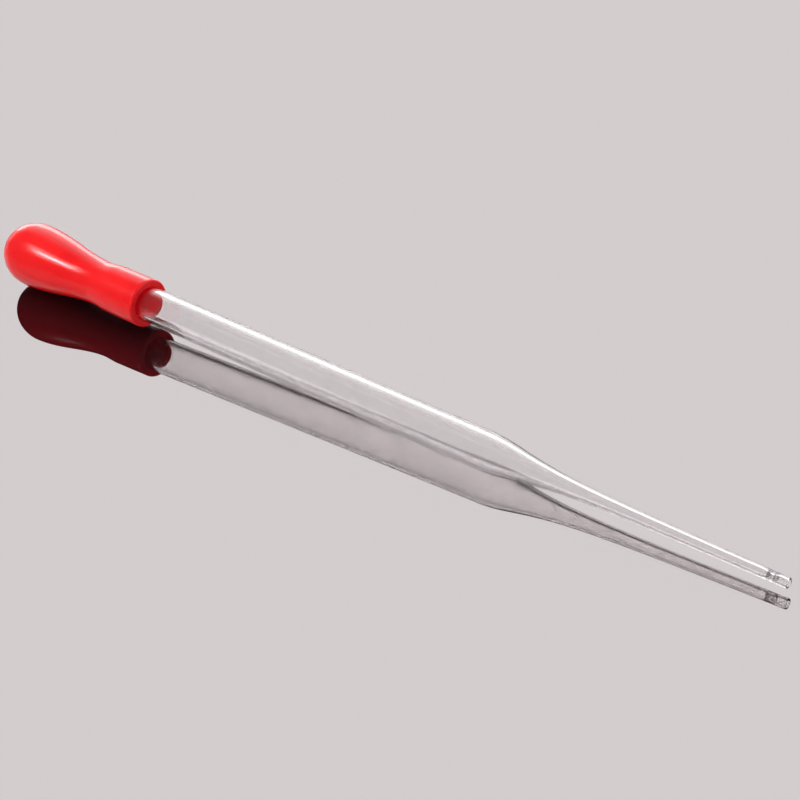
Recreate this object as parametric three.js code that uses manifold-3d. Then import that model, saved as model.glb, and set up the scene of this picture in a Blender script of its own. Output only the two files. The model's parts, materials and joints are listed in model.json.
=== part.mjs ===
// Medicine dropper: a drawn glass tube with a tapered jet, and a moulded rubber bulb on its top end.
// Millimetres, +Z up. The dropper lies on the bulb's belly and on the tube's shoulder, jet towards +X.
import * as THREE from "three";
import { mergeVertices } from "three/addons/utils/BufferGeometryUtils.js";
import Module from "manifold-3d";

// Glass tube, measured from the bulb's mouth towards the jet.
const TUBE_LENGTH = 150;
const TUBE_RADIUS = 3.5;
const TUBE_WALL = 0.85;
const TAPER_LENGTH = 57.5;
const TAPER_KNEE = 0.2; // share of the taper's length where half of the drop in radius is done
const TAPER_POWER = 2.2; // how sharply the taper turns at its knee
const JET_RADIUS = 0.88;
const JET_WALL = 0.36;
const THROAT_RADIUS = 0.3; // bore where the polished end has shrunk it
const THROAT_FROM_END = 2.95; // middle of the throat
const THROAT_LENGTH = 1.5;
const POLISHED_EDGE = 0.16; // rounding of the two melted ends
const LIP_SHARE = 0.48; // most of a wall that one rounding may take

// Rubber bulb, measured from its mouth towards its blind end.
const SEATED_DEPTH = 10.2; // how far the glass stands in the collar
const STOP_LENGTH = 1.8; // stretch over which the bore narrows behind the seated glass
const WAIST_AFTER_STOP = 1.2;
const BODY_LENGTH = 20; // from the waist to the belly
const NOSE_LENGTH = 7.5; // from the belly to the blind end
const COLLAR_LENGTH = 9;
const COLLAR_MOUTH_WALL = 1.2;
const COLLAR_ROOT_WALL = 1.15;
const RIM_ROUNDING = 0.45;
const WAIST_OVER_BORE = 0.85; // how far the waist's outside stands over the collar's bore
const WAIST_WALL = 1.4;
const BELLY_RADIUS = 6.6;
const BELLY_WALL = 1.2;
const BLIND_END_WALL = 1.5;

// The two side walls that finger and thumb press in.
const PRESS_BEFORE_BELLY = 3.5;
const PRESS_LENGTH = 15;
const PRESS_HEIGHT = 7.2;

// Clearances.
const GRIP_CLEARANCE = 0.15; // between the glass and the bulb's bore
const SEAT_CLEARANCE = 0.3; // between the seated glass and its stop
const PRESS_CLEARANCE = 0.3; // round each pressed wall

// Facets. Flats touch the true circle, and one flat faces down.
const SIDES = 24;
const CORNER_FACTOR = 1 / Math.cos(Math.PI / SIDES);
const TAPER_STEPS = 18;
const THROAT_STEPS = 6;
const EDGE_STEPS = 3;
const WAIST_STEPS = 5;
const BODY_STEPS = 9;
const NOSE_STEPS = 9;
const WINDOW_STEPS = 32;

// Stations along the axis, from the bulb's mouth: the glass's run forwards, the bulb's run backwards.
const JET_END = TUBE_LENGTH - SEATED_DEPTH;
const SHOULDER = JET_END - TAPER_LENGTH;
const STOP_START = SEATED_DEPTH + SEAT_CLEARANCE;
const WAIST_STATION = STOP_START + STOP_LENGTH + WAIST_AFTER_STOP;
const BELLY_STATION = WAIST_STATION + BODY_LENGTH;

const JET_BORE_RADIUS = JET_RADIUS - JET_WALL;
const BORE_RADIUS = TUBE_RADIUS + GRIP_CLEARANCE;
const COLLAR_MOUTH_RADIUS = BORE_RADIUS + COLLAR_MOUTH_WALL;
const COLLAR_ROOT_RADIUS = BORE_RADIUS + COLLAR_ROOT_WALL;
const WAIST_RADIUS = BORE_RADIUS + WAIST_OVER_BORE;
const TILT = Math.asin((BELLY_RADIUS - TUBE_RADIUS) / (BELLY_STATION + SHOULDER));

const wasm = await Module();
wasm.setup();

// 0 to 1 with level ends.
function ease(share) {
  const t = Math.min(Math.max(share, 0), 1);
  return t * t * (3 - 2 * t);
}

function between(from, to, share) {
  return from + (to - from) * share;
}

// The points of a stretch of profile: COUNT + 1 stations from START to END, with the radius of each.
function stretch(start, end, count, radiusAt) {
  return Array.from({ length: count + 1 }, (_, i) => {
    const station = between(start, end, i / count);
    return [station, radiusAt(station)];
  });
}

// A quarter of an ellipse about (station, radius), from angle 0 (along the axis) to a right angle (outwards).
function quarter(station, radius, halfLength, halfHeight, count) {
  return Array.from({ length: count + 1 }, (_, i) => {
    const angle = (Math.PI / 2) * (i / count);
    return [station + halfLength * Math.cos(angle), radius + halfHeight * Math.sin(angle)];
  });
}

// A closed body turned from [station, radius] points, its axis along +X.
function turned(points) {
  const profile = points.map(([station, radius]) => new THREE.Vector2(radius * CORNER_FACTOR, station));
  const geometry = new THREE.LatheGeometry(profile, SIDES, Math.PI / SIDES);
  return geometry.rotateZ(-Math.PI / 2);
}

function solidOf(geometry) {
  const bare = geometry.clone();
  bare.deleteAttribute("normal");
  bare.deleteAttribute("uv");
  const merged = mergeVertices(bare, 1e-4);
  const mesh = new wasm.Mesh({
    numProp: 3,
    vertProperties: merged.attributes.position.array,
    triVerts: new Uint32Array(merged.index.array),
  });
  return new wasm.Manifold(mesh);
}

function geometryOf(solid) {
  const mesh = solid.getMesh();
  const geometry = new THREE.BufferGeometry();
  geometry.setAttribute("position", new THREE.BufferAttribute(mesh.vertProperties, 3));
  geometry.setIndex(new THREE.BufferAttribute(mesh.triVerts, 1));
  geometry.computeVertexNormals();
  return geometry;
}

// Share of the drop from the tube's radius that is still left at a share of the taper's length.
function taperLeft(share) {
  const curve = (s) => 1 / (1 + (s / TAPER_KNEE) ** TAPER_POWER);
  return (curve(share) - curve(1)) / (1 - curve(1));
}

function glassOutside(station) {
  const left = taperLeft(Math.max(station - SHOULDER, 0) / TAPER_LENGTH);
  return between(JET_RADIUS, TUBE_RADIUS, left);
}

function glassBore(station) {
  const left = taperLeft(Math.max(station - SHOULDER, 0) / TAPER_LENGTH);
  const open = between(JET_BORE_RADIUS, TUBE_RADIUS - TUBE_WALL, left);
  const fromThroat = Math.abs(station - (JET_END - THROAT_FROM_END)) / THROAT_LENGTH;
  return between(THROAT_RADIUS, open, ease(fromThroat));
}

// The rounding of a melted lip, which its wall limits.
function lipRounding(outside, bore) {
  return Math.min(POLISHED_EDGE, (outside - bore) * LIP_SHARE);
}

// The melted lip of one end of the tube, from the outside round to the bore.
function polishedLip(end, direction, outside, bore) {
  const rounding = lipRounding(outside, bore);
  const outer = quarter(0, outside - rounding, rounding, rounding, EDGE_STEPS).reverse();
  const inner = quarter(0, 0, rounding, rounding, EDGE_STEPS);
  const lip = [...outer, ...inner.map(([along, out]) => [along, bore + rounding - out])];
  return lip.map(([along, radius]) => [end - direction * (rounding - along), radius]);
}

function glassTube() {
  const throatStart = JET_END - THROAT_FROM_END - THROAT_LENGTH;
  const throatEnd = JET_END - THROAT_FROM_END + THROAT_LENGTH;
  const lip = lipRounding(JET_RADIUS, JET_BORE_RADIUS);
  const outside = stretch(SHOULDER, JET_END - lip, TAPER_STEPS, glassOutside);
  const throat = stretch(throatStart, throatEnd, THROAT_STEPS, glassBore).reverse();
  const bore = stretch(SHOULDER, throatStart, TAPER_STEPS, glassBore).reverse();
  const jetLip = polishedLip(JET_END, 1, JET_RADIUS, JET_BORE_RADIUS);
  const topLip = polishedLip(-SEATED_DEPTH, -1, TUBE_RADIUS, TUBE_RADIUS - TUBE_WALL).reverse();
  const points = [...outside.slice(0, -1), ...jetLip, ...throat, ...bore.slice(1), ...topLip];
  return turned([...points, points[0]]);
}

// Outside of the bulb from its mouth to its belly; distances run backwards from the mouth.
function bulbOutside(back) {
  const collar = between(COLLAR_MOUTH_RADIUS, COLLAR_ROOT_RADIUS, Math.min(back / COLLAR_LENGTH, 1));
  const neck = between(collar, WAIST_RADIUS, ease((back - COLLAR_LENGTH) / (WAIST_STATION - COLLAR_LENGTH)));
  return between(neck, BELLY_RADIUS, ease((back - WAIST_STATION) / (BELLY_STATION - WAIST_STATION)));
}

function bulbBore(back) {
  const waistBore = WAIST_RADIUS - WAIST_WALL;
  const stop = between(BORE_RADIUS, waistBore, ease((back - STOP_START) / STOP_LENGTH));
  const share = (back - WAIST_STATION) / (BELLY_STATION - WAIST_STATION);
  return between(stop, BELLY_RADIUS - BELLY_WALL, ease(share));
}

function bulbShell() {
  const rim = quarter(-RIM_ROUNDING, COLLAR_MOUTH_RADIUS - RIM_ROUNDING, RIM_ROUNDING, RIM_ROUNDING, EDGE_STEPS);
  const outside = [
    ...stretch(COLLAR_LENGTH, WAIST_STATION, WAIST_STEPS, bulbOutside),
    ...stretch(WAIST_STATION, BELLY_STATION, BODY_STEPS, bulbOutside).slice(1),
    ...quarter(BELLY_STATION, 0, NOSE_LENGTH, BELLY_RADIUS, NOSE_STEPS).reverse().slice(1),
  ];
  const inside = [
    ...quarter(BELLY_STATION, 0, NOSE_LENGTH - BLIND_END_WALL, BELLY_RADIUS - BELLY_WALL, NOSE_STEPS),
    ...stretch(WAIST_STATION, BELLY_STATION, BODY_STEPS, bulbBore).reverse().slice(1),
    ...stretch(STOP_START, STOP_START + STOP_LENGTH, WAIST_STEPS, bulbBore).reverse(),
  ];
  const backwards = ([back, radius]) => [-back, radius];
  const outer = [...rim, ...outside.map(backwards)].reverse();
  const inner = inside.map(backwards).reverse();
  const mouth = [0, BORE_RADIUS];
  return turned([...outer, mouth, ...inner]);
}

// The upright oval column across the bulb that bounds the pressed walls.
function pressColumn(margin) {
  const oval = new THREE.Shape();
  oval.absellipse(0, 0, PRESS_LENGTH / 2 - margin, PRESS_HEIGHT / 2 - margin, 0, 2 * Math.PI);
  const reach = 2 * BELLY_RADIUS;
  const options = { depth: 2 * reach, bevelEnabled: false, curveSegments: WINDOW_STEPS };
  const column = new THREE.ExtrudeGeometry(oval, options);
  return column.rotateX(Math.PI / 2).translate(PRESS_BEFORE_BELLY - BELLY_STATION, reach, 0);
}

// Everything on one side of the bulb's middle plane.
function sideBlock(side) {
  const size = 4 * (BELLY_STATION + NOSE_LENGTH);
  return new THREE.BoxGeometry(size, size, size).translate(0, (side * size) / 2, 0);
}

function named(name, geometry, material) {
  const mesh = new THREE.Mesh(geometry, material);
  mesh.name = name;
  return mesh;
}

const glass = new THREE.MeshStandardMaterial({
  color: 0xdfe9e6,
  roughness: 0.03,
  metalness: 0,
  transparent: true,
  opacity: 0.4,
});

function redRubber() {
  return new THREE.MeshStandardMaterial({ color: 0xd81318, roughness: 0.42, metalness: 0 });
}

const shell = solidOf(bulbShell());
const pressWindow = solidOf(pressColumn(0));
const walls = shell.intersect(solidOf(pressColumn(PRESS_CLEARANCE)));

const lying = new THREE.Group();
lying.rotation.y = TILT;
lying.add(named("glass_tube", glassTube(), glass));
lying.add(named("rubber_bulb", geometryOf(shell.subtract(pressWindow)), redRubber()));
lying.add(named("bulb_wall_left", geometryOf(walls.intersect(solidOf(sideBlock(1)))), redRubber()));
lying.add(named("bulb_wall_right", geometryOf(walls.intersect(solidOf(sideBlock(-1)))), redRubber()));

// The origin is on the surface that the dropper lies on, under the middle of its length.
const dropper = new THREE.Group();
dropper.add(lying);
const box = new THREE.Box3().setFromObject(dropper, true);
lying.position.set(-(box.min.x + box.max.x) / 2, 0, -box.min.z);

export default dropper;
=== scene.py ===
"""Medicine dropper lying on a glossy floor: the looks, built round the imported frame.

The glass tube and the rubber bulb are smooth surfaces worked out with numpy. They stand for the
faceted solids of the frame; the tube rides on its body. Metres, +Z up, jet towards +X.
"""
import json
import logging
import math
from dataclasses import dataclass, field
from enum import Enum

import bmesh
import bpy
import numpy as np
from mathutils import Matrix, Vector


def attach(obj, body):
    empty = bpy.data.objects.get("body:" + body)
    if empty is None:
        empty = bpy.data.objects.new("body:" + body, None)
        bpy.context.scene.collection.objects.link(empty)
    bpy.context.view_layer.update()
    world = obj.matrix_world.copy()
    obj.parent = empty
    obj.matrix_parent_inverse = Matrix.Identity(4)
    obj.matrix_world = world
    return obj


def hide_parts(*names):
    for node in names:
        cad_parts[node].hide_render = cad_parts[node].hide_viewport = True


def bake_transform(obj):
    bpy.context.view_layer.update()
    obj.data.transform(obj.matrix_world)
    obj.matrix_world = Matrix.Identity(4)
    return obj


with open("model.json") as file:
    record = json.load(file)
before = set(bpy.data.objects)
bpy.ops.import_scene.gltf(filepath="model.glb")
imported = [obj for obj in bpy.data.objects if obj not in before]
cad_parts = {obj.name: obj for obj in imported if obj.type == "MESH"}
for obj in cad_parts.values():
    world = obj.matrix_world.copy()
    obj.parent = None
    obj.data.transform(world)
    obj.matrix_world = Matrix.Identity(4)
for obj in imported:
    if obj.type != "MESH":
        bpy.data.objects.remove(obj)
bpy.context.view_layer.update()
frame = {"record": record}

LOG = logging.getLogger("dropper")
MM = 0.001
COLLAR_SEAT_RADIUS = 3.91 * MM
WELD_DISTANCE = 1e-7


# ---------------------------------------------------------------------------------------------
# Axis of the dropper
# ---------------------------------------------------------------------------------------------
@dataclass(frozen=True)
class TurningAxis:
    """The dropper's long axis: where the bulb's mouth is, and three directions at right angles."""

    mouth: np.ndarray
    along: np.ndarray
    side: np.ndarray
    up: np.ndarray

    @classmethod
    def from_record(cls, record: dict, seat_radius: float) -> "TurningAxis":
        """Reads the axis from the mount on the collar's end face.

        Args:
            record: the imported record.
            seat_radius: how far the mount's point stands from the axis, in metres.

        Returns:
            The axis, with its origin in the middle of the bulb's mouth.
        """
        seat = next(m for m in record["mounts"] if m["name"] == "collar_seat")
        along = np.array(seat["axis"], float)
        along /= np.linalg.norm(along)
        side = np.array([0.0, 1.0, 0.0])
        up = np.cross(along, side)
        mouth = np.array(seat["pos_m"], float) - seat_radius * up
        return cls(mouth, along, side, up)

    def place(self, station: np.ndarray, radius: np.ndarray, angle: np.ndarray) -> np.ndarray:
        """Puts turned points in the row frame.

        A point is the mouth's centre, plus its station along the axis, plus its radius in the
        direction that its angle gives: up at 0, and the +Y side at a quarter turn.

        Args:
            station: distance from the mouth towards the jet, in metres.
            radius: distance from the axis, in metres.
            angle: turn about the axis from the upright, in radians.

        Returns:
            An array of points with one more dimension, of length 3.
        """
        outwards = np.cos(angle)[..., None] * self.up + np.sin(angle)[..., None] * self.side
        return self.mouth + station[..., None] * self.along + radius[..., None] * outwards


def ease(share: np.ndarray) -> np.ndarray:
    """Rises from 0 to 1 with level ends: three times the square less twice the cube."""
    t = np.clip(share, 0.0, 1.0)
    return t * t * (3.0 - 2.0 * t)


def between(start: float, end: float, share: np.ndarray) -> np.ndarray:
    """The value at a share of the way from start to end."""
    return start + (end - start) * share


def crowded(start: float, end: float, count: int) -> np.ndarray:
    """Values from start to end that crowd at both ends, as a half turn's cosine does."""
    return between(start, end, 0.5 - 0.5 * np.cos(np.linspace(0.0, math.pi, count)))


# ---------------------------------------------------------------------------------------------
# Meshes
# ---------------------------------------------------------------------------------------------
def grid_faces(rows: int, columns: int, close_rows: bool, close_columns: bool) -> np.ndarray:
    """Quads of a grid of points that is numbered row by row.

    Args:
        rows: number of rows of points.
        columns: number of points in a row.
        close_rows: whether the last row joins the first.
        close_columns: whether the last point of a row joins the first.

    Returns:
        An array of faces by 4 point numbers.
    """
    i = np.arange(rows if close_rows else rows - 1)[:, None]
    j = np.arange(columns if close_columns else columns - 1)[None, :]
    i_next, j_next = (i + 1) % rows, (j + 1) % columns
    corners = [i * columns + j, i * columns + j_next, i_next * columns + j_next, i_next * columns + j]
    return np.stack([np.broadcast_to(c, (i.size, j.size)) for c in corners], -1).reshape(-1, 4)


def solid_object(name: str, points: np.ndarray, faces: np.ndarray, sharp: float) -> bpy.types.Object:
    """Makes a closed, smooth shaded object with its faces outwards.

    Args:
        name: the piece's name.
        points: an array of points by 3, in metres.
        faces: an array of faces by 4 point numbers.
        sharp: edges that turn more than this angle stay sharp, in radians.

    Returns:
        The new object, at the origin, with its place in its mesh.
    """
    mesh = bpy.data.meshes.new(name)
    mesh.from_pydata(points.tolist(), [], faces.tolist())
    shape = bmesh.new()
    shape.from_mesh(mesh)
    bmesh.ops.remove_doubles(shape, verts=shape.verts, dist=WELD_DISTANCE)
    bmesh.ops.recalc_face_normals(shape, faces=shape.faces)
    shape.to_mesh(mesh)
    shape.free()
    mesh.shade_smooth()
    mesh.set_sharp_from_angle(angle=sharp)
    piece = bpy.data.objects.new(name, mesh)
    bpy.context.scene.collection.objects.link(piece)
    return piece


# ---------------------------------------------------------------------------------------------
# Finishes
# ---------------------------------------------------------------------------------------------
class Nodes:
    """A material's or group's nodes, with short calls to add and join them."""

    def __init__(self, tree: bpy.types.NodeTree) -> None:
        """Starts from an emptied node tree."""
        self.tree = tree
        tree.nodes.clear()

    def add(self, kind: str, **settings: object) -> bpy.types.Node:
        """Adds a node.

        Args:
            kind: the node's type name.
            **settings: attributes of the node, or values of the inputs named with underscores.

        Returns:
            The node.
        """
        node = self.tree.nodes.new(kind)
        for key, value in settings.items():
            if hasattr(node, key):
                setattr(node, key, value)
            else:
                node.inputs[key.replace("_", " ")].default_value = value
        return node

    def join(self, source: bpy.types.NodeSocket, target: bpy.types.NodeSocket) -> None:
        """Links an output to an input."""
        self.tree.links.new(source, target)

    def ramp(self, source: bpy.types.NodeSocket, stops: list[tuple[float, tuple]]) -> bpy.types.NodeSocket:
        """Colours a value by a ramp.

        Args:
            source: the value.
            stops: places from 0 to 1, each with its colour.

        Returns:
            The colour.
        """
        node = self.add("ShaderNodeValToRGB")
        elements = node.color_ramp.elements
        while len(elements) < len(stops):
            elements.new(0.5)
        for element, (place, colour) in zip(elements, stops):
            element.position = place
            element.color = (*colour, 1.0)
        self.join(source, node.inputs["Fac"])
        return node.outputs["Color"]

    def remap(self, source: bpy.types.NodeSocket, low: float, high: float) -> bpy.types.NodeSocket:
        """Stretches a value from 0 to 1 so that it runs from low to high."""
        node = self.add("ShaderNodeMapRange")
        node.inputs["To Min"].default_value = low
        node.inputs["To Max"].default_value = high
        self.join(source, node.inputs["Value"])
        return node.outputs["Result"]

    def math(self, operation: str, a: object, b: object) -> bpy.types.NodeSocket:
        """A sum, product or comparison of two values, each a socket or a number."""
        node = self.add("ShaderNodeMath", operation=operation)
        for value, target in zip((a, b), node.inputs):
            if isinstance(value, bpy.types.NodeSocket):
                self.join(value, target)
            else:
                target.default_value = value
        return node.outputs["Value"]


class Handling:
    """Marks of handling, which every surface shares: smears, fine grain and settled dust."""

    NAME = "handling_marks"
    SPECK_RADIUS = 0.11
    DUSTY_LEVEL = 0.62

    @classmethod
    def group(cls) -> bpy.types.NodeTree:
        """The node group, built the first time that it is asked for.

        Returns:
            A group that takes Vector, Smear Scale and Grain Scale and gives Smear, Grain and Dust.
        """
        if cls.NAME in bpy.data.node_groups:
            return bpy.data.node_groups[cls.NAME]
        tree = bpy.data.node_groups.new(cls.NAME, "ShaderNodeTree")
        nodes = Nodes(tree)
        sides = tree.interface
        sides.new_socket("Vector", in_out="INPUT", socket_type="NodeSocketVector")
        for name, value in (("Smear Scale", 120.0), ("Grain Scale", 3500.0)):
            sides.new_socket(name, in_out="INPUT", socket_type="NodeSocketFloat").default_value = value
        for name in ("Smear", "Grain", "Dust"):
            sides.new_socket(name, in_out="OUTPUT", socket_type="NodeSocketFloat")
        given, made = nodes.add("NodeGroupInput"), nodes.add("NodeGroupOutput")
        smear = nodes.add("ShaderNodeTexNoise", Detail=4.0, Roughness=0.55, Distortion=0.6)
        grain = nodes.add("ShaderNodeTexNoise", Detail=3.0, Roughness=0.6)
        specks = nodes.add("ShaderNodeTexVoronoi", feature="F1")
        for node, scale in ((smear, "Smear Scale"), (grain, "Grain Scale"), (specks, "Grain Scale")):
            nodes.join(given.outputs["Vector"], node.inputs["Vector"])
            nodes.join(given.outputs[scale], node.inputs["Scale"])
        nodes.join(nodes.remap(smear.outputs["Fac"], 0.0, 1.0), made.inputs["Smear"])
        nodes.join(grain.outputs["Fac"], made.inputs["Grain"])
        small = nodes.math("LESS_THAN", specks.outputs["Distance"], cls.SPECK_RADIUS)
        patchy = nodes.math("GREATER_THAN", smear.outputs["Fac"], cls.DUSTY_LEVEL)
        nodes.join(nodes.math("MULTIPLY", small, patchy), made.inputs["Dust"])
        return tree

    @classmethod
    def put(cls, nodes: Nodes, place: bpy.types.NodeSocket, smear: float, grain: float) -> bpy.types.Node:
        """Places the group in a material.

        Args:
            nodes: the material's nodes.
            place: the coordinates that the marks follow.
            smear: smears to a metre.
            grain: grains to a metre.

        Returns:
            The group node.
        """
        node = nodes.add("ShaderNodeGroup")
        node.node_tree = cls.group()
        nodes.join(place, node.inputs["Vector"])
        node.inputs["Smear Scale"].default_value = smear
        node.inputs["Grain Scale"].default_value = grain
        return node


@dataclass(frozen=True)
class RedRubber:
    """Satin moulded red rubber: mottled colour, a fine pebbled skin, a little bloom and a deep glow.

    Scales are patterns to a metre. A painted glow on the collar's bore stands in for the light that the glass
    pipes there; it is emission, not a lamp.
    """

    deep: tuple = (0.80, 0.006, 0.009)
    bright: tuple = (0.90, 0.012, 0.014)
    mottle_scale: float = 95.0
    bloom: tuple = (0.86, 0.10, 0.09)
    bloom_weight: float = 0.25
    smear_scale: float = 160.0
    grain_scale: float = 2600.0
    gloss_low: float = 0.15
    gloss_high: float = 0.22
    specular: float = 0.25
    ior: float = 1.5
    grain_depth: float = 0.02 * MM
    grain_strength: float = 0.35
    glow_weight: float = 0.5
    glow_depth: float = 1.2 * MM
    glow_colours: tuple = (1.0, 0.12, 0.08)
    # colour of the painted glow on the collar's bore, which stands in for light piped along the glass
    painted_glow: tuple = (0.20, 0.0005, 0.004)

    def material(self) -> bpy.types.Material:
        """The material; its patterns follow the skin's own rest_place attribute."""
        made = bpy.data.materials.new("satin_red_rubber")
        made.use_nodes = True
        nodes = Nodes(made.node_tree)
        out = nodes.add("ShaderNodeOutputMaterial")
        shader = nodes.add("ShaderNodeBsdfPrincipled")
        shader.inputs["Specular IOR Level"].default_value = self.specular
        shader.inputs["IOR"].default_value = self.ior
        shader.inputs["Subsurface Weight"].default_value = self.glow_weight
        shader.inputs["Subsurface Scale"].default_value = self.glow_depth
        shader.inputs["Subsurface Radius"].default_value = self.glow_colours
        nodes.join(shader.outputs["BSDF"], out.inputs["Surface"])
        place = nodes.add("ShaderNodeAttribute", attribute_name="rest_place").outputs["Vector"]
        marks = Handling.put(nodes, place, self.smear_scale, self.grain_scale)
        mottle = nodes.add("ShaderNodeTexNoise", Scale=self.mottle_scale, Detail=5.0, Roughness=0.6)
        nodes.join(place, mottle.inputs["Vector"])
        colour = nodes.ramp(mottle.outputs["Fac"], [(0.30, self.deep), (0.62, self.bright)])
        dusted = nodes.add("ShaderNodeMix", data_type="RGBA")
        nodes.join(nodes.math("MULTIPLY", marks.outputs["Dust"], self.bloom_weight), dusted.inputs["Factor"])
        nodes.join(colour, dusted.inputs["A"])
        dusted.inputs["B"].default_value = (*self.bloom, 1.0)
        nodes.join(dusted.outputs["Result"], shader.inputs["Base Color"])
        gloss = nodes.remap(marks.outputs["Smear"], self.gloss_low, self.gloss_high)
        nodes.join(gloss, shader.inputs["Roughness"])
        bump = nodes.add("ShaderNodeBump", Strength=self.grain_strength, Distance=self.grain_depth)
        nodes.join(marks.outputs["Grain"], bump.inputs["Height"])
        nodes.join(bump.outputs["Normal"], shader.inputs["Normal"])
        # painted glow: emission on the collar's bore, standing in for light piped along the glass; no lamp
        # gives it
        painted_glow = nodes.add("ShaderNodeAttribute", attribute_name="piped_light")
        shader.inputs["Emission Color"].default_value = (*self.painted_glow, 1.0)
        nodes.join(painted_glow.outputs["Fac"], shader.inputs["Emission Strength"])
        return made


@dataclass(frozen=True)
class DrawnGlass:
    """Clear drawn glass: long draw lines, smears, and two painted dark rings, painted shade standing in for
    the darkening that the shrunk throat's refraction gives.

    Each ring is its distance from the jet's end and its half width. Scales are patterns to a metre.
    """

    clear: tuple = (0.990, 0.980, 0.987)
    tinted: tuple = (0.974, 0.968, 0.974)
    ior: float = 1.47
    smear_scale: float = 90.0
    grain_scale: float = 1800.0
    smear_roughness: float = 0.012
    smear_power: float = 4.0
    line_scale: float = 900.0
    line_stretch: float = 0.04
    line_depth: float = 0.001 * MM
    line_strength: float = 0.02
    # painted shade: two dark bands tinted into the glass where the shrunk throat's refraction darkens the jet
    painted_shade_rings: tuple = ((3.35 * MM, 0.26 * MM), (2.2 * MM, 0.22 * MM))
    painted_ring_shade: tuple = (0.10, 0.09, 0.11)

    def painted_ring_mask(self, nodes: Nodes, place: bpy.types.NodeSocket, axis: TurningAxis,
                  jet_end: float) -> bpy.types.NodeSocket:
        """How dark the painted shade rings are: 1 on a ring's middle, falling evenly to 0 at its half width.

        Args:
            nodes: the material's nodes.
            place: the point's coordinates.
            axis: the tube's axis.
            jet_end: station of the jet's end.

        Returns:
            The mask, from 0 to 1.
        """
        along = nodes.add("ShaderNodeVectorMath", operation="DOT_PRODUCT")
        nodes.join(place, along.inputs[0])
        along.inputs[1].default_value = tuple(axis.along)
        before_end = nodes.math("SUBTRACT", float(axis.mouth @ axis.along) + jet_end, along.outputs["Value"])
        mask = None
        for distance, half_width in self.painted_shade_rings:
            away = nodes.math("ABSOLUTE", nodes.math("SUBTRACT", before_end, distance), 0.0)
            ring = nodes.math("SUBTRACT", 1.0, nodes.math("DIVIDE", away, half_width))
            mask = nodes.math("MAXIMUM", ring, 0.0 if mask is None else mask)
        return mask

    def material(self, axis: TurningAxis, jet_end: float) -> bpy.types.Material:
        """The material; its patterns follow Object coordinates, stretched along the tube.

        Args:
            axis: the tube's axis.
            jet_end: station of the jet's end.

        Returns:
            The material.
        """
        made = bpy.data.materials.new("clear_drawn_glass")
        made.use_nodes = True
        nodes = Nodes(made.node_tree)
        out = nodes.add("ShaderNodeOutputMaterial")
        shader = nodes.add("ShaderNodeBsdfPrincipled")
        shader.inputs["Transmission Weight"].default_value = 1.0
        shader.inputs["Metallic"].default_value = 0.0
        shader.inputs["IOR"].default_value = self.ior
        nodes.join(shader.outputs["BSDF"], out.inputs["Surface"])
        place = nodes.add("ShaderNodeTexCoord").outputs["Object"]
        drawn = nodes.add("ShaderNodeMapping")
        drawn.inputs["Scale"].default_value = (self.line_stretch, 1.0, 1.0)
        nodes.join(place, drawn.inputs["Vector"])
        marks = Handling.put(nodes, place, self.smear_scale, self.grain_scale)
        lines = nodes.add("ShaderNodeTexNoise", Scale=self.line_scale, Detail=2.0, Roughness=0.5)
        nodes.join(drawn.outputs["Vector"], lines.inputs["Vector"])
        colour = nodes.ramp(lines.outputs["Fac"], [(0.25, self.tinted), (0.75, self.clear)])
        # mixes the painted shade rings into the glass colour
        shade_painted = nodes.add("ShaderNodeMix", data_type="RGBA")
        nodes.join(self.painted_ring_mask(nodes, place, axis, jet_end), shade_painted.inputs["Factor"])
        nodes.join(colour, shade_painted.inputs["A"])
        shade_painted.inputs["B"].default_value = (*self.painted_ring_shade, 1.0)
        nodes.join(shade_painted.outputs["Result"], shader.inputs["Base Color"])
        haze = nodes.math("POWER", marks.outputs["Smear"], self.smear_power)
        nodes.join(nodes.remap(haze, 0.0, self.smear_roughness), shader.inputs["Roughness"])
        bump = nodes.add("ShaderNodeBump", Strength=self.line_strength, Distance=self.line_depth)
        nodes.join(lines.outputs["Fac"], bump.inputs["Height"])
        nodes.join(bump.outputs["Normal"], shader.inputs["Normal"])
        return made


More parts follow.
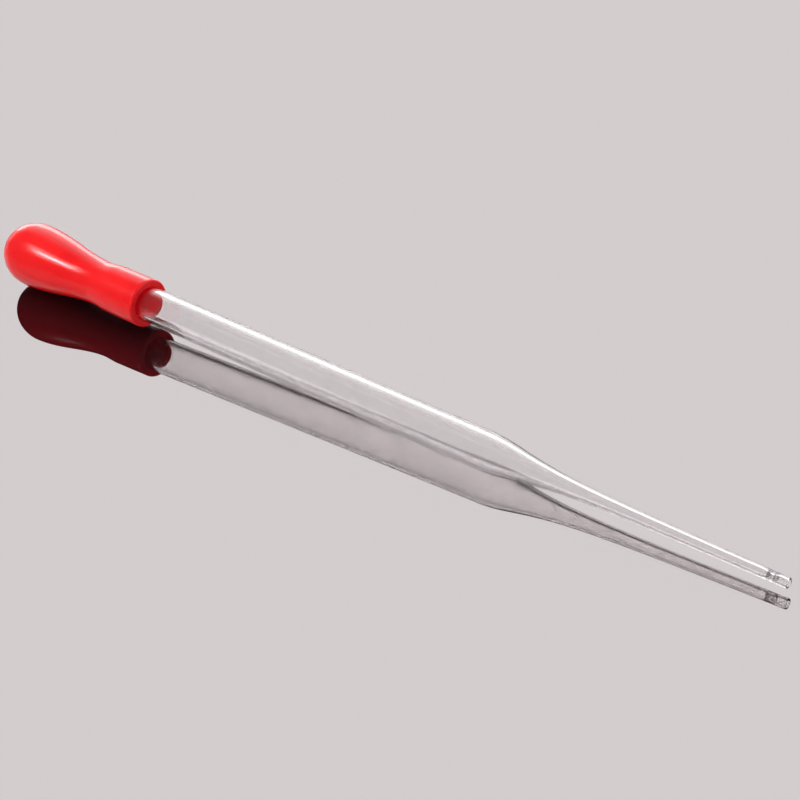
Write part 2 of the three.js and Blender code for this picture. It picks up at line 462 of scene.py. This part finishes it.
# ---------------------------------------------------------------------------------------------
# Glass tube
# ---------------------------------------------------------------------------------------------
@dataclass
class GlassTube:
    """The drawn tube: straight, then a shoulder, a long taper and a jet with a shrunk throat."""

    axis: TurningAxis
    length: float = 150.0 * MM
    seated: float = 10.2 * MM
    radius: float = 3.5 * MM
    wall: float = 0.85 * MM
    taper_length: float = 57.5 * MM
    taper_knee: float = 0.2
    taper_power: float = 2.2
    jet_radius: float = 0.88 * MM
    jet_wall: float = 0.36 * MM
    throat_radius: float = 0.3 * MM
    throat_from_end: float = 2.95 * MM
    throat_length: float = 1.5 * MM
    polished_edge: float = 0.16 * MM
    sides: int = 128
    straight_rows: int = 40
    taper_rows: int = 150
    throat_rows: int = 60
    lip_rows: int = 9
    finish: DrawnGlass = field(default_factory=DrawnGlass)

    @property
    def jet_end(self) -> float:
        """Station of the jet's end."""
        return self.length - self.seated

    @property
    def shoulder(self) -> float:
        """Station where the taper starts."""
        return self.jet_end - self.taper_length

    def taper_left(self, station: np.ndarray) -> np.ndarray:
        """Share of the drop in radius that is still to come at a station.

        One over one plus the share of the taper's length, over its knee, to a power, brought to
        exactly 1 at the shoulder and 0 at the jet's end.
        """
        def curve(share: np.ndarray) -> np.ndarray:
            """The curve before it is brought to 1 and 0."""
            return 1.0 / (1.0 + (share / self.taper_knee) ** self.taper_power)

        share = np.clip((station - self.shoulder) / self.taper_length, 0.0, 1.0)
        last = curve(np.array(1.0))
        return (curve(share) - last) / (1.0 - last)

    def outside(self, station: np.ndarray) -> np.ndarray:
        """Radius of the outside at a station."""
        return between(self.jet_radius, self.radius, self.taper_left(station))

    def bore(self, station: np.ndarray) -> np.ndarray:
        """Radius of the bore at a station, shrunk at the throat near the jet's end."""
        jet_bore = self.jet_radius - self.jet_wall
        wide = between(jet_bore, self.radius - self.wall, self.taper_left(station))
        away = np.abs(station - (self.jet_end - self.throat_from_end)) / self.throat_length
        return self.throat_radius + (wide - self.throat_radius) * ease(away)

    def lip(self, end: float, facing: float, outside: float, bore: float) -> tuple[np.ndarray, np.ndarray]:
        """A melted end: a quarter round outside, then a quarter round into the bore.

        Args:
            end: station of the end face.
            facing: 1 if the end faces the jet's way, -1 if it faces the bulb's.
            outside: radius outside.
            bore: radius of the bore.

        Returns:
            Stations and radii, from the outside to the bore.
        """
        angle = np.linspace(0.0, math.pi / 2, self.lip_rows)
        r = self.polished_edge
        outer_station, outer_radius = r * np.sin(angle), outside - r + r * np.cos(angle)
        inner_station, inner_radius = r * np.cos(angle), bore + r - r * np.sin(angle)
        along = np.concatenate([outer_station, inner_station])
        return end - facing * (r - along), np.concatenate([outer_radius, inner_radius])

    def profile(self) -> tuple[np.ndarray, np.ndarray]:
        """The closed outline of the wall: out along the outside, round the jet, back along the bore.

        Returns:
            Stations and radii.
        """
        edge, start = self.polished_edge, -self.seated
        throat = self.jet_end - self.throat_from_end - self.throat_length
        straight = np.linspace(start + edge, self.shoulder, self.straight_rows)[1:-1]
        taper = crowded(self.shoulder, self.jet_end - edge, self.taper_rows)[:-1]
        back_throat = np.linspace(self.jet_end - edge, throat, self.throat_rows)[1:]
        back_taper = np.linspace(throat, self.shoulder, self.taper_rows)[1:]
        out = np.concatenate([straight, taper])
        back = np.concatenate([back_throat, back_taper, straight[::-1]])
        jet = self.lip(self.jet_end, 1.0, self.jet_radius, self.jet_radius - self.jet_wall)
        top = self.lip(start, -1.0, self.radius, self.radius - self.wall)
        stations = np.concatenate([out, jet[0], back, top[0][::-1]])
        radii = np.concatenate([self.outside(out), jet[1], self.bore(back), top[1][::-1]])
        return stations, radii

    def build(self) -> bpy.types.Object:
        """Turns the outline about the axis; it stands for the faceted tube of the frame."""
        stations, radii = self.profile()
        angles = np.linspace(0.0, 2 * math.pi, self.sides, endpoint=False)
        station, angle = np.meshgrid(stations, angles, indexing="ij")
        radius = np.broadcast_to(radii[:, None], station.shape)
        points = self.axis.place(station, radius, angle).reshape(-1, 3)
        faces = grid_faces(stations.size, self.sides, close_rows=True, close_columns=True)
        piece = solid_object("drawn_glass_tube", points, faces, sharp=math.radians(60))
        piece.data.materials.append(self.finish.material(self.axis, self.jet_end))
        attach(piece, "tube")
        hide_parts("glass_tube")
        return piece


# ---------------------------------------------------------------------------------------------
# Rubber bulb
# ---------------------------------------------------------------------------------------------
class Side(Enum):
    """The two halves of the skin, which meet on the mould's parting plane."""

    LEFT = 1
    RIGHT = -1

    @property
    def word(self) -> str:
        """The side's name, as the frame spells it."""
        return self.name.lower()


@dataclass
class RubberBulb:
    """The moulded bulb: a collar on the glass, a waist, a round belly and a blind end."""

    axis: TurningAxis
    bore: float = 3.49 * MM
    mouth_radius: float = 4.85 * MM
    root_radius: float = 4.8 * MM
    rim_rounding: float = 0.45 * MM
    collar_length: float = 9.0 * MM
    stop_start: float = 10.5 * MM
    stop_length: float = 1.8 * MM
    waist_station: float = 13.5 * MM
    waist_radius: float = 4.5 * MM
    waist_wall: float = 1.4 * MM
    belly_station: float = 33.5 * MM
    belly_radius: float = 6.6 * MM
    belly_wall: float = 1.2 * MM
    nose_length: float = 7.5 * MM
    blind_end_wall: float = 1.5 * MM
    press_station: float = 30.0 * MM
    press_reach: float = 15.0 * MM
    # reach of the painted glow on the collar's bore
    painted_glow_reach: float = 9.0 * MM
    bore_margin: float = 0.02 * MM
    mouth_margin: float = 0.01 * MM
    body_rows: int = 150
    nose_rows: int = 48
    rim_rows: int = 10
    half_turn_columns: int = 97
    finish: RedRubber = field(default_factory=RedRubber)

    def outside_radius(self, back: np.ndarray) -> np.ndarray:
        """Radius of the outside, from the mouth back to the belly: three easings in a row."""
        collar = between(self.mouth_radius, self.root_radius, np.clip(back / self.collar_length, 0, 1))
        neck_share = (back - self.collar_length) / (self.waist_station - self.collar_length)
        neck = collar + (self.waist_radius - collar) * ease(neck_share)
        body_share = (back - self.waist_station) / (self.belly_station - self.waist_station)
        return neck + (self.belly_radius - neck) * ease(body_share)

    def bore_radius(self, back: np.ndarray) -> np.ndarray:
        """Radius of the inside, from the mouth back to the belly."""
        waist_bore = self.waist_radius - self.waist_wall
        stop = between(self.bore, waist_bore, ease((back - self.stop_start) / self.stop_length))
        share = (back - self.waist_station) / (self.belly_station - self.waist_station)
        return stop + (self.belly_radius - self.belly_wall - stop) * ease(share)

    def outlines(self) -> tuple[np.ndarray, np.ndarray]:
        """The outside's and the inside's outlines, from the mouth to the blind end.

        Each is a rim, a body and a quarter ellipse for the nose, with as many points as the other.

        Returns:
            Two arrays of points by (distance back from the mouth, radius).
        """
        turn = np.linspace(0.0, math.pi / 2, self.rim_rows)
        rim_back = self.rim_rounding * (1.0 - np.sin(turn))[::-1]
        rim_radius = (self.mouth_radius - self.rim_rounding * (1.0 - np.cos(turn)))[::-1]
        body = np.linspace(self.rim_rounding, self.belly_station, self.body_rows)[1:]
        nose = np.linspace(0.0, math.pi / 2, self.nose_rows)[1:]
        outside = np.concatenate([
            np.stack([rim_back, rim_radius], -1),
            np.stack([body, self.outside_radius(body)], -1),
            np.stack([self.belly_station + self.nose_length * np.sin(nose),
                      self.belly_radius * np.cos(nose)], -1),
        ])
        hollow = self.nose_length - self.blind_end_wall
        hollow_radius = self.belly_radius - self.belly_wall
        mouth = np.linspace(0.0, self.rim_rounding, self.rim_rows)
        inside = np.concatenate([
            np.stack([mouth, self.bore_radius(mouth)], -1),
            np.stack([body, self.bore_radius(body)], -1),
            np.stack([self.belly_station + hollow * np.sin(nose), hollow_radius * np.cos(nose)], -1),
        ])
        outside[-1, 1] = inside[-1, 1] = 0.0
        return outside, inside

    def half(self, side: Side) -> bpy.types.Object:
        """One closed half of the skin, turned from the top round one side to the bottom.

        Args:
            side: which half.

        Returns:
            The half, a closed smooth shaded object.
        """
        outside, inside = self.outlines()
        angles = side.value * np.linspace(0.0, math.pi, self.half_turn_columns)
        loop = np.concatenate([outside, inside[::-1]])
        back, angle = np.meshgrid(loop[:, 0], angles, indexing="ij")
        radius = np.broadcast_to(loop[:, 1:], back.shape)
        count = len(outside)
        points = self.axis.place(-back, radius, angle).reshape(-1, 3)
        skin = grid_faces(2 * count, self.half_turn_columns, close_rows=True, close_columns=False)
        rows = np.arange(count - 1)
        partner = 2 * count - 1 - rows
        ends = []
        for column in (0, self.half_turn_columns - 1):
            corners = [rows, rows + 1, partner - 1, partner]
            ends.append(np.stack([c * self.half_turn_columns + column for c in corners], -1))
        faces = np.concatenate([skin, *ends])
        return solid_object(f"bulb_skin_{side.word}", points, faces, sharp=math.radians(50))

    def place_marks(self, piece: bpy.types.Object) -> None:
        """Stores where each point is at rest, and where the painted glow lies on the collar's bore, standing
        in for the light that the glass pipes there.

        The painted glow is 1 at the mouth and falls with the depth, as e to the minus depth over a reach.
        """
        points = np.empty(len(piece.data.vertices) * 3, np.float32)
        piece.data.vertices.foreach_get("co", points)
        piece.data.attributes.new("rest_place", "FLOAT_VECTOR", "POINT").data.foreach_set("vector", points)
        offset = points.reshape(-1, 3) - self.axis.mouth
        back = -offset @ self.axis.along
        radius = np.hypot(offset @ self.axis.side, offset @ self.axis.up)
        in_bore = radius < self.bore + self.bore_margin
        inside = in_bore & (back > self.mouth_margin) & (back < self.stop_start)
        # painted glow share: 1 at the mouth inside the bore, fading deeper in
        light = np.where(inside, np.exp(-back / self.painted_glow_reach), 0.0).astype(np.float32)
        piece.data.attributes.new("piped_light", "FLOAT", "POINT").data.foreach_set("value", light)

    def follow(self, piece: bpy.types.Object) -> None:
        """Bakes the half's placement into its mesh and reads back its points, which nothing uses further.
        """
        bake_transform(piece)
        points = np.empty(len(piece.data.vertices) * 3)
        piece.data.vertices.foreach_get("co", points)

    def build(self) -> list[bpy.types.Object]:
        """Builds and dresses both halves, which stand for the bulb and its two pressed walls."""
        material = self.finish.material()
        halves = []
        for side in Side:
            piece = self.half(side)
            self.place_marks(piece)
            piece.data.materials.append(material)
            self.follow(piece)
            halves.append(piece)
        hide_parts("rubber_bulb", "bulb_wall_left")
        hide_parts("rubber_bulb", "bulb_wall_right")
        return halves


# ---------------------------------------------------------------------------------------------
# Studio
# ---------------------------------------------------------------------------------------------
@dataclass(frozen=True)
class SoftBox:
    """A rectangular lamp that lights the rubber only.

    It stands off from the bulb by a distance in a direction, with its long side leaning a given way.
    Its radiance is how bright its face is; the floor is about 0.6. It may be left out of reflections.
    """

    name: str
    towards: tuple
    lean: tuple
    distance: float
    size: tuple
    radiance: float
    glossy: bool = True


ALONG_BULB = (0.176, -0.854, -0.488)
LEVEL = (0.8, 0.6, 0.0)
LAMPS = (
    SoftBox("window", (-0.464, -0.54, 0.702), ALONG_BULB, 0.5, (0.03, 0.018), 260.0),
    SoftBox("window_blind", (-0.50, -0.52, 0.69), ALONG_BULB, 0.5, (0.20, 0.07), 6.0),
    SoftBox("back_wall", (-0.52, 0.84, 0.14), LEVEL, 1.0, (1.6, 0.35), 2.2),
    SoftBox("front_fill", (0.35, -0.9, 0.22), LEVEL, 0.8, (0.7, 0.4), 1.7, glossy=False),
)


@dataclass
class Studio:
    """A pale glossy floor, a bright wall that only the floor mirrors, and soft lamps.

    Skies are angles in degrees, from 0 at the back through 90 overhead to 180 in front, each with a
    brightness from 0 to 1. A ray that has come by the floor's mirror has passed the clear film twice.
    """

    pale: tuple = (0.6445, 0.6038, 0.6038)
    floor_share: float = 0.08
    veil: tuple = (0.010, 0.006, 0.008)
    floor_radius: float = 3.0
    floor_sides: int = 64
    dome_radius: float = 3.2
    dome_detail: int = 4
    dome_light: float = 1.0
    dome_light_to_matt: float = 0.4
    wall_light: float = 2.0
    wall_stops: tuple = ((0, 0.75), (15, 0.85), (40, 1.0), (55, 0.75), (68, 0.35), (80, 0.12), (180, 0.1))
    mirror_light: float = 7.6
    mirror_tint: tuple = (0.965, 0.87, 0.87)
    mirror_stops: tuple = ((0, 0.2), (14, 0.35), (28, 0.95), (42, 1.0), (90, 0.6), (180, 0.3))
    soft_light: float = 0.78
    soft_stops: tuple = ((0, 0.7), (90, 1.0), (180, 1.0))
    film_height: float = -0.02 * MM
    films_to_mirror: float = 1.5
    films_too_many: float = 2.5
    bulb_centre: tuple = (-0.07, 0.0, 0.006)

    def floor(self) -> bpy.types.Object:
        """A level disc that mirrors a small, fixed share of what is above it."""
        mesh = bpy.data.meshes.new("floor")
        shape = bmesh.new()
        bmesh.ops.create_circle(shape, cap_ends=True, segments=self.floor_sides, radius=self.floor_radius)
        shape.to_mesh(mesh)
        shape.free()
        piece = bpy.data.objects.new("floor", mesh)
        bpy.context.scene.collection.objects.link(piece)
        material = bpy.data.materials.new("glossy_floor")
        material.use_nodes = True
        nodes = Nodes(material.node_tree)
        out = nodes.add("ShaderNodeOutputMaterial")
        mix = nodes.add("ShaderNodeMixShader")
        mix.inputs["Fac"].default_value = self.floor_share
        dark = nodes.add("ShaderNodeBsdfDiffuse")
        dark.inputs["Color"].default_value = (*self.veil, 1.0)
        mirror = nodes.add("ShaderNodeBsdfAnisotropic")
        mirror.inputs["Roughness"].default_value = 0.0
        mirror.inputs["Color"].default_value = (1.0, 1.0, 1.0, 1.0)
        nodes.join(dark.outputs["BSDF"], mix.inputs[1])
        nodes.join(mirror.outputs["BSDF"], mix.inputs[2])
        nodes.join(mix.outputs["Shader"], out.inputs["Surface"])
        mesh.materials.append(material)
        piece.location.z = 2.0 * self.film_height
        return piece

    def film(self, floor: bpy.types.Object) -> None:
        """A clear film on the floor, by which the world tells the floor's mirror image."""
        piece = bpy.data.objects.new("clear_film", floor.data.copy())
        bpy.context.scene.collection.objects.link(piece)
        piece.location.z = self.film_height
        material = bpy.data.materials.new("clear_film")
        material.use_nodes = True
        nodes = Nodes(material.node_tree)
        out = nodes.add("ShaderNodeOutputMaterial")
        clear = nodes.add("ShaderNodeBsdfTransparent")
        nodes.join(clear.outputs["BSDF"], out.inputs["Surface"])
        piece.data.materials.clear()
        piece.data.materials.append(material)

    def dome(self, floor: bpy.types.Object) -> None:
        """The wall of light that the floor mirrors; it is linked to the floor alone."""
        mesh = bpy.data.meshes.new("light_wall")
        shape = bmesh.new()
        bmesh.ops.create_icosphere(shape, subdivisions=self.dome_detail, radius=self.dome_radius)
        bmesh.ops.reverse_faces(shape, faces=shape.faces)
        shape.to_mesh(mesh)
        shape.free()
        piece = bpy.data.objects.new("light_wall", mesh)
        bpy.context.scene.collection.objects.link(piece)
        material = bpy.data.materials.new("light_wall")
        material.use_nodes = True
        nodes = Nodes(material.node_tree)
        out = nodes.add("ShaderNodeOutputMaterial")
        glow = nodes.add("ShaderNodeEmission")
        glow.inputs["Color"].default_value = (*self.pale, 1.0)
        path = nodes.add("ShaderNodeLightPath")
        matt = nodes.math("GREATER_THAN", path.outputs["Diffuse Depth"], 0.5)
        light = self.dome_light / self.floor_share
        bright = nodes.remap(matt, light, self.dome_light_to_matt / self.floor_share)
        nodes.join(bright, glow.inputs["Strength"])
        clear, both = nodes.add("ShaderNodeBsdfTransparent"), nodes.add("ShaderNodeAddShader")
        nodes.join(glow.outputs["Emission"], both.inputs[0])
        nodes.join(clear.outputs["BSDF"], both.inputs[1])
        nodes.join(both.outputs["Shader"], out.inputs["Surface"])
        mesh.materials.append(material)
        piece.visible_camera = False
        piece.visible_diffuse = False
        piece.visible_transmission = False
        piece.visible_shadow = False
        receivers = bpy.data.collections.new("lit_by_wall")
        receivers.objects.link(floor)
        piece.light_linking.receiver_collection = receivers

    def lamp(self, box: SoftBox, lit: list[bpy.types.Object]) -> None:
        """Hangs a soft box.

        Args:
            box: the soft box.
            lit: the pieces that it lights.
        """
        data = bpy.data.lights.new(box.name, "AREA")
        data.shape = "RECTANGLE"
        data.size, data.size_y = box.size
        data.energy = box.radiance * math.pi * box.size[0] * box.size[1]
        lamp = bpy.data.objects.new(box.name, data)
        bpy.context.scene.collection.objects.link(lamp)
        way = Vector(box.towards).normalized()
        short = way.cross(Vector(box.lean)).normalized()
        turn = Matrix((short.cross(way), short, way)).transposed().to_4x4()
        lamp.matrix_world = Matrix.Translation(Vector(self.bulb_centre) + way * box.distance) @ turn
        lamp.visible_camera = False
        lamp.visible_glossy = box.glossy
        lamp.visible_transmission = False
        receivers = bpy.data.collections.new(f"lit_by_{box.name}")
        for piece in lit:
            receivers.objects.link(piece)
        lamp.light_linking.receiver_collection = receivers

    def sky(self, nodes: Nodes, stops: tuple, tint: tuple = (1.0, 1.0, 1.0)) -> bpy.types.NodeSocket:
        """Brightness of the surroundings by the angle above the ground at the back.

        Args:
            nodes: the world's nodes.
            stops: the sky's angles and brightnesses.
            tint: the light's colour.

        Returns:
            The colour for a direction.
        """
        way = nodes.add("ShaderNodeSeparateXYZ")
        nodes.join(nodes.add("ShaderNodeTexCoord").outputs["Generated"], way.inputs["Vector"])
        angle = nodes.math("ARCTAN2", way.outputs["Z"], way.outputs["Y"])
        colours = [(a / 180.0, tuple(v * share for share in tint)) for a, v in stops]
        return nodes.ramp(nodes.math("DIVIDE", angle, math.pi), colours)

    def glow(self, nodes: Nodes, colour: object, strength: float) -> bpy.types.NodeSocket:
        """An even or a coloured light of the surroundings."""
        light = nodes.add("ShaderNodeBackground")
        light.inputs["Strength"].default_value = strength
        if isinstance(colour, bpy.types.NodeSocket):
            nodes.join(colour, light.inputs["Color"])
        else:
            light.inputs["Color"].default_value = (*colour, 1.0)
        return light.outputs["Background"]

    def choose(self, nodes: Nodes, test: bpy.types.NodeSocket, no: bpy.types.NodeSocket,
               yes: bpy.types.NodeSocket) -> bpy.types.NodeSocket:
        """One light where a test is 0 and another where it is 1."""
        mix = nodes.add("ShaderNodeMixShader")
        for source, target in ((test, mix.inputs["Fac"]), (no, mix.inputs[1]), (yes, mix.inputs[2])):
            nodes.join(source, target)
        return mix.outputs["Shader"]

    def world(self) -> None:
        """Soft white to matt surfaces, a bright low wall to the glass, brighter still in its mirror image."""
        world = bpy.data.worlds.new("studio")
        bpy.context.scene.world = world
        world.use_nodes = True
        nodes = Nodes(world.node_tree)
        out = nodes.add("ShaderNodeOutputWorld")
        path = nodes.add("ShaderNodeLightPath")
        seen = self.glow(nodes, self.sky(nodes, self.wall_stops), self.wall_light)
        mirrored = self.glow(nodes, self.sky(nodes, self.mirror_stops, self.mirror_tint), self.mirror_light)
        soft = self.glow(nodes, self.sky(nodes, self.soft_stops), self.soft_light)
        none = self.glow(nodes, self.pale, 0.0)
        films = path.outputs["Transparent Depth"]
        by_mirror = nodes.math("GREATER_THAN", films, self.films_to_mirror)
        too_many = nodes.math("GREATER_THAN", films, self.films_too_many)
        light = self.choose(nodes, too_many, self.choose(nodes, by_mirror, seen, mirrored), none)
        matt = nodes.math("GREATER_THAN", path.outputs["Diffuse Depth"], 0.5)
        light = self.choose(nodes, matt, light, soft)
        pale = self.glow(nodes, self.pale, 1.0)
        nodes.join(self.choose(nodes, path.outputs["Is Camera Ray"], light, pale), out.inputs["Surface"])

    def build(self, rubber: list[bpy.types.Object]) -> None:
        """Sets up the floor, the wall of light, the lamps on the rubber and the world."""
        floor = self.floor()
        self.film(floor)
        self.dome(floor)
        self.world()
        for box in LAMPS:
            self.lamp(box, rubber)
        bpy.context.scene.view_settings.view_transform = "Standard"
        bpy.context.scene.view_settings.look = "None"


@dataclass
class Camera:
    """The view from the right, in front and above, a long lens away."""

    shoulder: np.ndarray
    azimuth: float = 39.83
    elevation: float = 35.07
    distance: float = 0.2795
    heading: float = -43.096
    dip: float = 33.165
    roll: float = -5.165
    lens: float = 75.03

    def build(self) -> None:
        """Places the camera round the tube's shoulder and turns it by its own three angles."""
        data = bpy.data.cameras.new("camera")
        data.lens = self.lens
        data.clip_start, data.clip_end = 0.005, 20.0
        camera = bpy.data.objects.new("camera", data)
        bpy.context.scene.collection.objects.link(camera)
        a, e = math.radians(self.azimuth), math.radians(self.elevation)
        back = np.array([math.sin(a) * math.cos(e), -math.cos(a) * math.cos(e), math.sin(e)])
        yaw, pitch, roll = (math.radians(v) for v in (self.heading, self.dip, self.roll))
        ahead = Vector((math.sin(yaw) * math.cos(pitch), math.cos(yaw) * math.cos(pitch), -math.sin(pitch)))
        level = Vector((math.cos(yaw), -math.sin(yaw), 0.0))
        upright = level.cross(ahead)
        right = math.cos(roll) * level + math.sin(roll) * upright
        up = math.cos(roll) * upright - math.sin(roll) * level
        turn = Matrix((right, up, -ahead)).transposed().to_4x4()
        place = Vector(self.shoulder + self.distance * back)
        camera.matrix_world = Matrix.Translation(place) @ turn
        bpy.context.scene.camera = camera


def main() -> None:
    """Builds the dropper and its studio, and reports each piece."""
    logging.basicConfig(level=logging.INFO, format="%(name)s: %(message)s")
    axis = TurningAxis.from_record(frame["record"], COLLAR_SEAT_RADIUS)
    tube = GlassTube(axis)
    bulb = RubberBulb(axis)
    glass, rubber = tube.build(), bulb.build()
    for piece in [glass, *rubber]:
        LOG.info("%s: %d faces", piece.name, len(piece.data.polygons))
    Studio().build(rubber)
    Camera(axis.mouth + tube.shoulder * axis.along).build()


if __name__ == "__main__":
    main()
